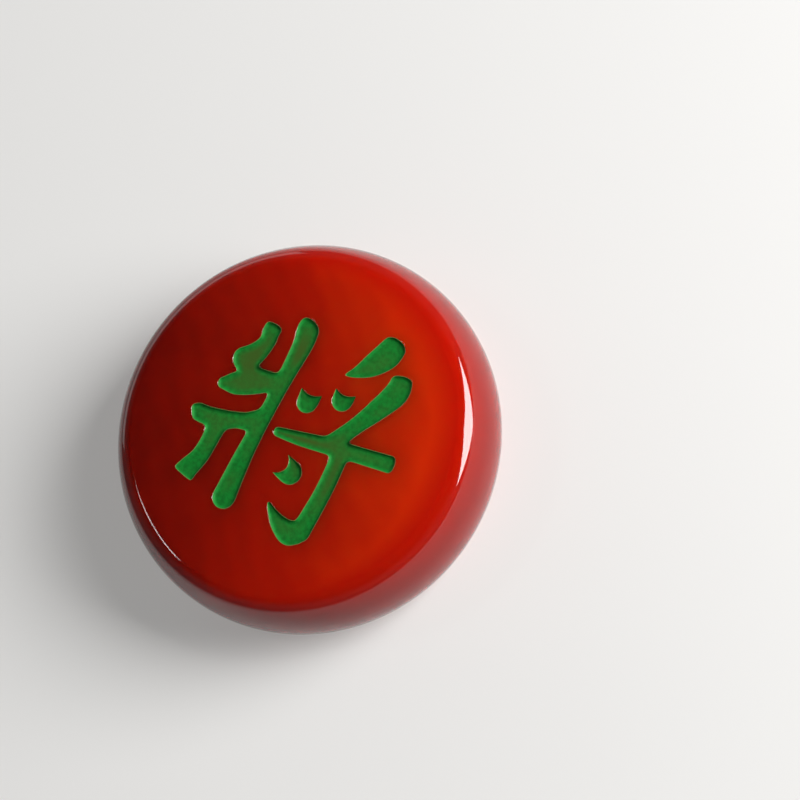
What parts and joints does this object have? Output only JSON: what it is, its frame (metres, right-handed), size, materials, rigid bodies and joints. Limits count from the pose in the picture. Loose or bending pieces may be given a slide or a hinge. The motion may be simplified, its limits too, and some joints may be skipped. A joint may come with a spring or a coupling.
{
  "type": "xiangqi piece",
  "caption": "Thick polished red agate disc with a bulged rim, a rank sign engraved in one face and green paint lining the grooves.",
  "frame": {"origin": "middle of the underside, where the axis of the disc meets the board", "axes": "+Z along the axis of the disc towards the sign face, +Y towards the top of the sign, +X towards its right"},
  "size_m": [0.05, 0.05, 0.0135],
  "materials": {
    "red_agate": "mirror-polished translucent red agate",
    "green_paint": "semi-gloss brushed-in enamel"
  },
  "bodies": {
    "root": {"agate_disc": "red_agate", "paint_left_radical": "green_paint", "paint_top_sweep": "green_paint", "paint_left_dot": "green_paint", "paint_right_dot": "green_paint", "paint_cross_and_hook": "green_paint", "paint_lower_dot": "green_paint"}
  },
  "joints": []
}
